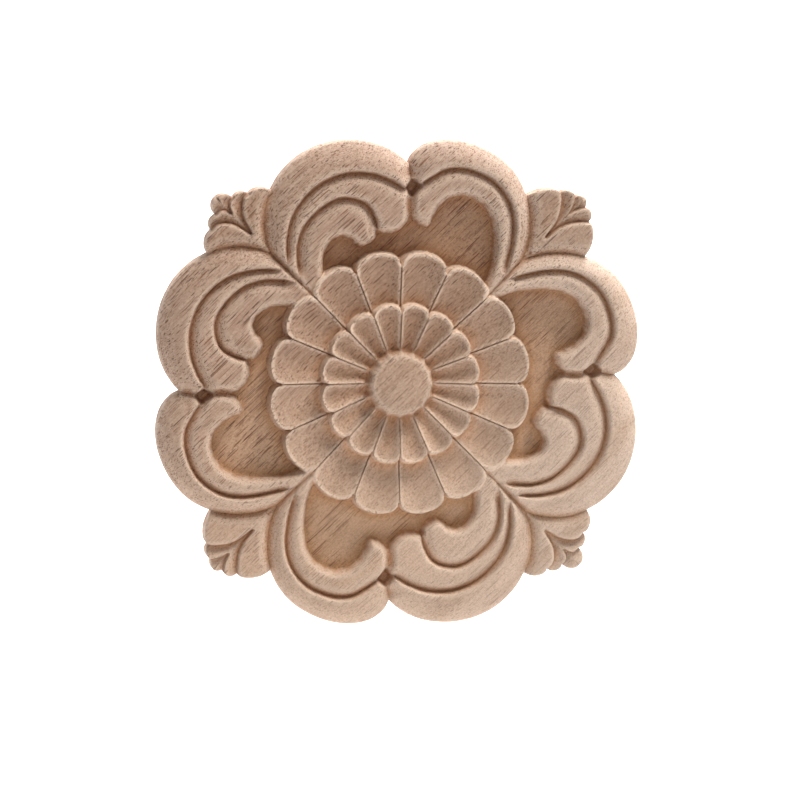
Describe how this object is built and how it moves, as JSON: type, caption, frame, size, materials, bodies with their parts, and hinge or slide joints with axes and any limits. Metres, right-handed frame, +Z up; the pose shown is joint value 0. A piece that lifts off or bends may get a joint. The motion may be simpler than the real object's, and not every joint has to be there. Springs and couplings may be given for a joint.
{
  "type": "carved applique",
  "caption": "Round flat-backed wood applique carved in relief: a petalled rosette ringed by scrolled lobes, with a small leaf between the lobes on each diagonal.",
  "frame": {"origin": "centre of the flat back, behind the middle of the rosette", "axes": "+Y out of the flat back, so the carved face looks towards -Y; +Z up and +X to the right as the carved face is seen"},
  "size_m": [0.2, 0.0178, 0.2],
  "materials": {
    "wood": "sanded, unfinished"
  },
  "bodies": {
    "root": {"carved_applique": "wood"}
  },
  "joints": []
}
